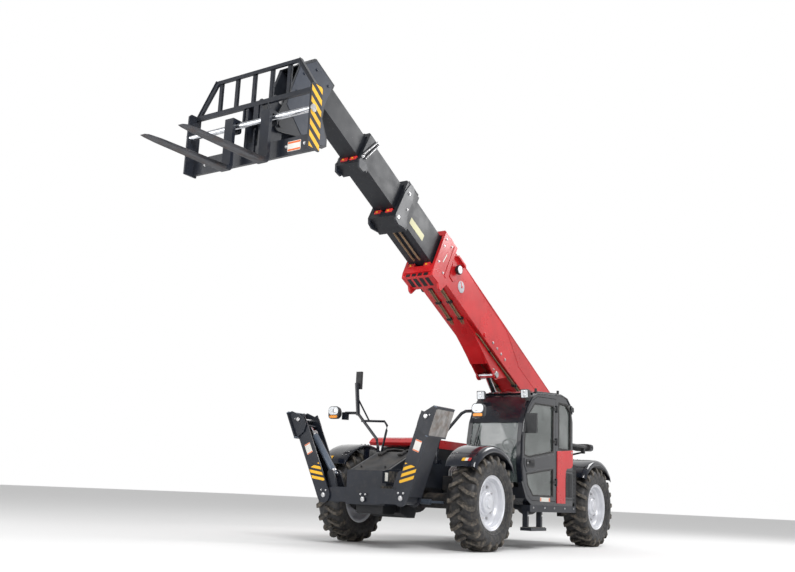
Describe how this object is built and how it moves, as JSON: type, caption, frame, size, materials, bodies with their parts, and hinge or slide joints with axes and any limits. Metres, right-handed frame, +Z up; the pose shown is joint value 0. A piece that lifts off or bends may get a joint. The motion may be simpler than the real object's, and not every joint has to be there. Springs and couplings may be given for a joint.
{
  "type": "telehandler",
  "caption": "Telescopic handler with a raised multi-stage boom, offset cab, swing-up front stabilisers and pallet forks on a tilting carriage.",
  "frame": {"origin": "bottom centre of the bounding box, on the ground", "axes": "+X forward over the forks, +Y to the cab side, +Z up"},
  "size_m": [9.02, 2.5908, 5.5919],
  "materials": {
    "red_paint": "gloss",
    "black_paint": "satin",
    "gloss_black": "gloss",
    "tyre_rubber": "matt",
    "silver_paint": "satin",
    "cast_iron": "rough cast, painted",
    "chrome": "polished",
    "worn_steel": "worn",
    "tinted_glass": "clear, tinted",
    "seat_vinyl": "matt",
    "lamp_glass": "clear lens"
  },
  "bodies": {
    "chassis": {"chassis_frame": "black_paint", "rear_counterweight": "black_paint", "front_axle": "cast_iron", "rear_axle": "cast_iron", "cab_shell": "gloss_black", "windscreen": "tinted_glass", "left_quarter_window": "tinted_glass", "rear_window": "tinted_glass", "right_window": "tinted_glass", "operator_seat": "seat_vinyl", "steering_column": "seat_vinyl", "battery_box": "black_paint", "engine_pod": "black_paint", "engine_block": "cast_iron", "right_lamp_frame": "gloss_black", "right_mirror": "black_paint", "right_headlamp": "lamp_glass", "left_headlamp": "lamp_glass", "left_lamp_frame": "gloss_black", "left_mirror": "black_paint"},
    "hood": {"engine_hood": "red_paint"},
    "door": {"cab_door": "gloss_black", "door_upper_glass": "tinted_glass", "door_lower_glass": "tinted_glass"},
    "front_left_steering": {"front_left_knuckle": "cast_iron", "front_left_mudguard": "gloss_black"},
    "front_left_wheel": {"front_left_rim": "silver_paint", "front_left_tyre": "tyre_rubber"},
    "front_right_steering": {"front_right_knuckle": "cast_iron", "front_right_mudguard": "gloss_black"},
    "front_right_wheel": {"front_right_rim": "silver_paint", "front_right_tyre": "tyre_rubber"},
    "rear_left_steering": {"rear_left_knuckle": "cast_iron", "rear_left_mudguard": "gloss_black"},
    "rear_left_wheel": {"rear_left_rim": "silver_paint", "rear_left_tyre": "tyre_rubber"},
    "rear_right_steering": {"rear_right_knuckle": "cast_iron", "rear_right_mudguard": "gloss_black"},
    "rear_right_wheel": {"rear_right_rim": "silver_paint", "rear_right_tyre": "tyre_rubber"},
    "right_stabiliser": {"right_stabiliser_arm": "black_paint"},
    "right_stabiliser_foot": {"right_stabiliser_foot": "black_paint"},
    "right_stabiliser_barrel": {"right_stabiliser_barrel": "black_paint"},
    "right_stabiliser_rod": {"right_stabiliser_rod": "chrome"},
    "left_stabiliser": {"left_stabiliser_arm": "black_paint"},
    "left_stabiliser_foot": {"left_stabiliser_foot": "black_paint"},
    "left_stabiliser_barrel": {"left_stabiliser_barrel": "black_paint"},
    "left_stabiliser_rod": {"left_stabiliser_rod": "chrome"},
    "boom_1": {"boom_section_1": "red_paint"},
    "boom_2": {"boom_section_2": "black_paint"},
    "boom_3": {"boom_section_3": "black_paint"},
    "boom_4": {"boom_section_4": "black_paint"},
    "lift_barrel": {"lift_cylinder_barrel": "black_paint"},
    "lift_rod": {"lift_cylinder_rod": "chrome"},
    "carriage": {"fork_carriage": "black_paint"},
    "right_fork": {"right_fork": "worn_steel"},
    "left_fork": {"left_fork": "worn_steel"},
    "tilt_barrel": {"tilt_cylinder_barrel": "black_paint"},
    "tilt_rod": {"tilt_cylinder_rod": "chrome"}
  },
  "joints": [
    {"name": "engine_hood_hinge", "type": "hinge", "parent": "chassis", "child": "hood", "pos_m": [-1.91, -0.31, 1.425], "axis": [-1, 0, 0], "range_deg": [0, 60]},
    {"name": "cab_door_hinge", "type": "hinge", "parent": "chassis", "child": "door", "pos_m": [-2.172, 1.118, 1.3], "axis": [0, 0, 1], "range_deg": [0, 85]},
    {"name": "front_left_steer", "type": "hinge", "parent": "chassis", "child": "front_left_steering", "pos_m": [-0.27, 0.72, 0.585], "axis": [0, 0, 1], "range_deg": [-32, 32]},
    {"name": "front_left_wheel_spin", "type": "hinge", "parent": "front_left_steering", "child": "front_left_wheel", "pos_m": [-0.27, 1, 0.585], "axis": [0, 1, 0], "continuous": true},
    {"name": "front_right_steer", "type": "hinge", "parent": "chassis", "child": "front_right_steering", "pos_m": [-0.27, -0.72, 0.585], "axis": [0, 0, 1], "range_deg": [-32, 32]},
    {"name": "front_right_wheel_spin", "type": "hinge", "parent": "front_right_steering", "child": "front_right_wheel", "pos_m": [-0.27, -1, 0.585], "axis": [0, 1, 0], "continuous": true},
    {"name": "rear_left_steer", "type": "hinge", "parent": "chassis", "child": "rear_left_steering", "pos_m": [-3.55, 0.72, 0.585], "axis": [0, 0, 1], "range_deg": [-32, 32]},
    {"name": "rear_left_wheel_spin", "type": "hinge", "parent": "rear_left_steering", "child": "rear_left_wheel", "pos_m": [-3.55, 1, 0.585], "axis": [0, 1, 0], "continuous": true},
    {"name": "rear_right_steer", "type": "hinge", "parent": "chassis", "child": "rear_right_steering", "pos_m": [-3.55, -0.72, 0.585], "axis": [0, 0, 1], "range_deg": [-32, 32]},
    {"name": "rear_right_wheel_spin", "type": "hinge", "parent": "rear_right_steering", "child": "rear_right_wheel", "pos_m": [-3.55, -1, 0.585], "axis": [0, 1, 0], "continuous": true},
    {"name": "right_stabiliser_swing", "type": "hinge", "parent": "chassis", "child": "right_stabiliser", "pos_m": [0.663, -0.646, 0.595], "axis": [1, 0, 0], "range_deg": [0, 92]},
    {"name": "right_stabiliser_foot_pin", "type": "hinge", "parent": "right_stabiliser", "child": "right_stabiliser_foot", "pos_m": [0.663, -1.11, 1.53], "axis": [-1, 0, 0], "range_deg": [0, 35]},
    {"name": "right_stabiliser_barrel_pin", "type": "hinge", "parent": "chassis", "child": "right_stabiliser_barrel", "pos_m": [0.663, -0.6, 0.86], "axis": [1, 0, 0], "range_deg": [0, 92.2]},
    {"name": "right_stabiliser_rod_slide", "type": "slide", "parent": "right_stabiliser_barrel", "child": "right_stabiliser_rod", "axis": [0, -0.5942, 0.8043], "range_m": [0, 0.392]},
    {"name": "left_stabiliser_swing", "type": "hinge", "parent": "chassis", "child": "left_stabiliser", "pos_m": [0.862, 0.646, 0.595], "axis": [-1, 0, 0], "range_deg": [0, 101]},
    {"name": "left_stabiliser_foot_pin", "type": "hinge", "parent": "left_stabiliser", "child": "left_stabiliser_foot", "pos_m": [0.862, 0.965, 1.53], "axis": [1, 0, 0], "range_deg": [0, 35]},
    {"name": "left_stabiliser_barrel_pin", "type": "hinge", "parent": "chassis", "child": "left_stabiliser_barrel", "pos_m": [0.862, 0.6, 0.86], "axis": [-1, 0, 0], "range_deg": [0, 102.8]},
    {"name": "left_stabiliser_rod_slide", "type": "slide", "parent": "left_stabiliser_barrel", "child": "left_stabiliser_rod", "axis": [0, 0.4615, 0.8872], "range_m": [0, 0.42]},
    {"name": "boom_lift", "type": "hinge", "parent": "chassis", "child": "boom_1", "pos_m": [-3.91, 0, 1.85], "axis": [0, -1, 0], "range_deg": [-32.4, 42.6]},
    {"name": "boom_extend", "type": "slide", "parent": "boom_1", "child": "boom_2", "axis": [0.8878, 0, 0.4602], "range_m": [-0.62, 2.4]},
    {"name": "boom_extend_3", "type": "slide", "parent": "boom_2", "child": "boom_3", "axis": [0.8878, 0, 0.4602], "range_m": [-0.62, 2.4]},
    {"name": "boom_extend_4", "type": "slide", "parent": "boom_3", "child": "boom_4", "axis": [0.8878, 0, 0.4602], "range_m": [-0.62, 2.4]},
    {"name": "lift_cylinder_barrel_pin", "type": "hinge", "parent": "chassis", "child": "lift_barrel", "pos_m": [-3.56, 0, 1], "axis": [0, -1, 0], "range_deg": [-26, 34.2]},
    {"name": "lift_cylinder_rod_slide", "type": "slide", "parent": "lift_barrel", "child": "lift_rod", "axis": [0.6982, 0, 0.7159], "range_m": [-0.448, 0.588]},
    {"name": "carriage_tilt", "type": "hinge", "parent": "boom_4", "child": "carriage", "pos_m": [2.96, 0, 4.565], "axis": [0, -1, 0], "range_deg": [-45, 36]},
    {"name": "right_fork_slide", "type": "slide", "parent": "carriage", "child": "right_fork", "axis": [0, 1, 0], "range_m": [-0.58, 0.15]},
    {"name": "left_fork_slide", "type": "slide", "parent": "carriage", "child": "left_fork", "axis": [0, 1, 0], "range_m": [-0.2, 0.47]},
    {"name": "tilt_cylinder_barrel_pin", "type": "hinge", "parent": "boom_4", "child": "tilt_barrel", "pos_m": [2.2, 0, 4.62], "axis": [0, -1, 0], "range_deg": [-3, 3]},
    {"name": "tilt_cylinder_rod_slide", "type": "slide", "parent": "tilt_barrel", "child": "tilt_rod", "axis": [0.948, 0, 0.3182], "range_m": [-0.24, 0.24]}
  ],
  "couplings": [
    {"joint": "front_right_steer", "follows": "front_left_steer", "ratio": 1},
    {"joint": "rear_right_steer", "follows": "rear_left_steer", "ratio": 1},
    {"joint": "right_stabiliser_barrel_pin", "follows": "right_stabiliser_swing", "ratio": 0.9914},
    {"joint": "right_stabiliser_rod_slide", "follows": "right_stabiliser_swing", "m_per_rad": 0.2409},
    {"joint": "left_stabiliser_barrel_pin", "follows": "left_stabiliser_swing", "ratio": 1.0083},
    {"joint": "left_stabiliser_rod_slide", "follows": "left_stabiliser_swing", "m_per_rad": 0.2354},
    {"joint": "boom_extend_3", "follows": "boom_extend", "ratio": 1},
    {"joint": "boom_extend_4", "follows": "boom_extend", "ratio": 1},
    {"joint": "lift_cylinder_barrel_pin", "follows": "boom_lift", "ratio": 0.8},
    {"joint": "lift_cylinder_rod_slide", "follows": "boom_lift", "m_per_rad": 0.79},
    {"joint": "tilt_cylinder_barrel_pin", "follows": "carriage_tilt", "ratio": 0.06},
    {"joint": "tilt_cylinder_rod_slide", "follows": "carriage_tilt", "m_per_rad": -0.295}
  ]
}
